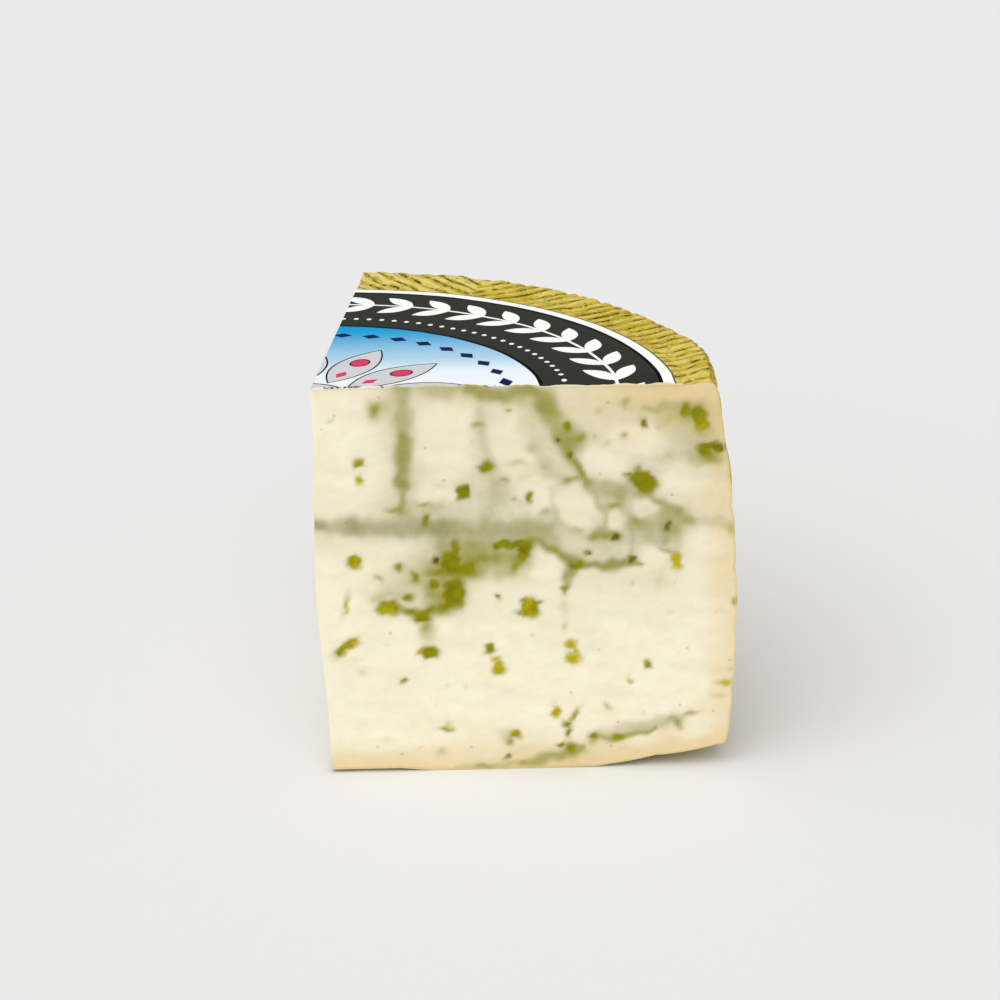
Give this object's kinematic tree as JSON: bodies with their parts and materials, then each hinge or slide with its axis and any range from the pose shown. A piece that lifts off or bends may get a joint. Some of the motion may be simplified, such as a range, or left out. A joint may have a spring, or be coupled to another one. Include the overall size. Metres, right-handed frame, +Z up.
{
  "type": "sheep cheese wedge",
  "caption": "Wedge cut from a small wheel of semi-cured sheep cheese with green herb veins, its woven-print rind and the cut part of its round paper label.",
  "frame": {"origin": "bottom centre of the bounding box, in the plane of the base that the wedge rests on", "axes": "+Z up, -Z out of the base; the front cut faces -Y, its tip is at -X and its rind at +X, and the second cut runs from the tip towards +Y"},
  "size_m": [0.0988, 0.0972, 0.0984],
  "materials": {
    "cheese": "satin",
    "label": "satin"
  },
  "bodies": {
    "root": {"cheese": "cheese", "label": "label"}
  },
  "joints": []
}
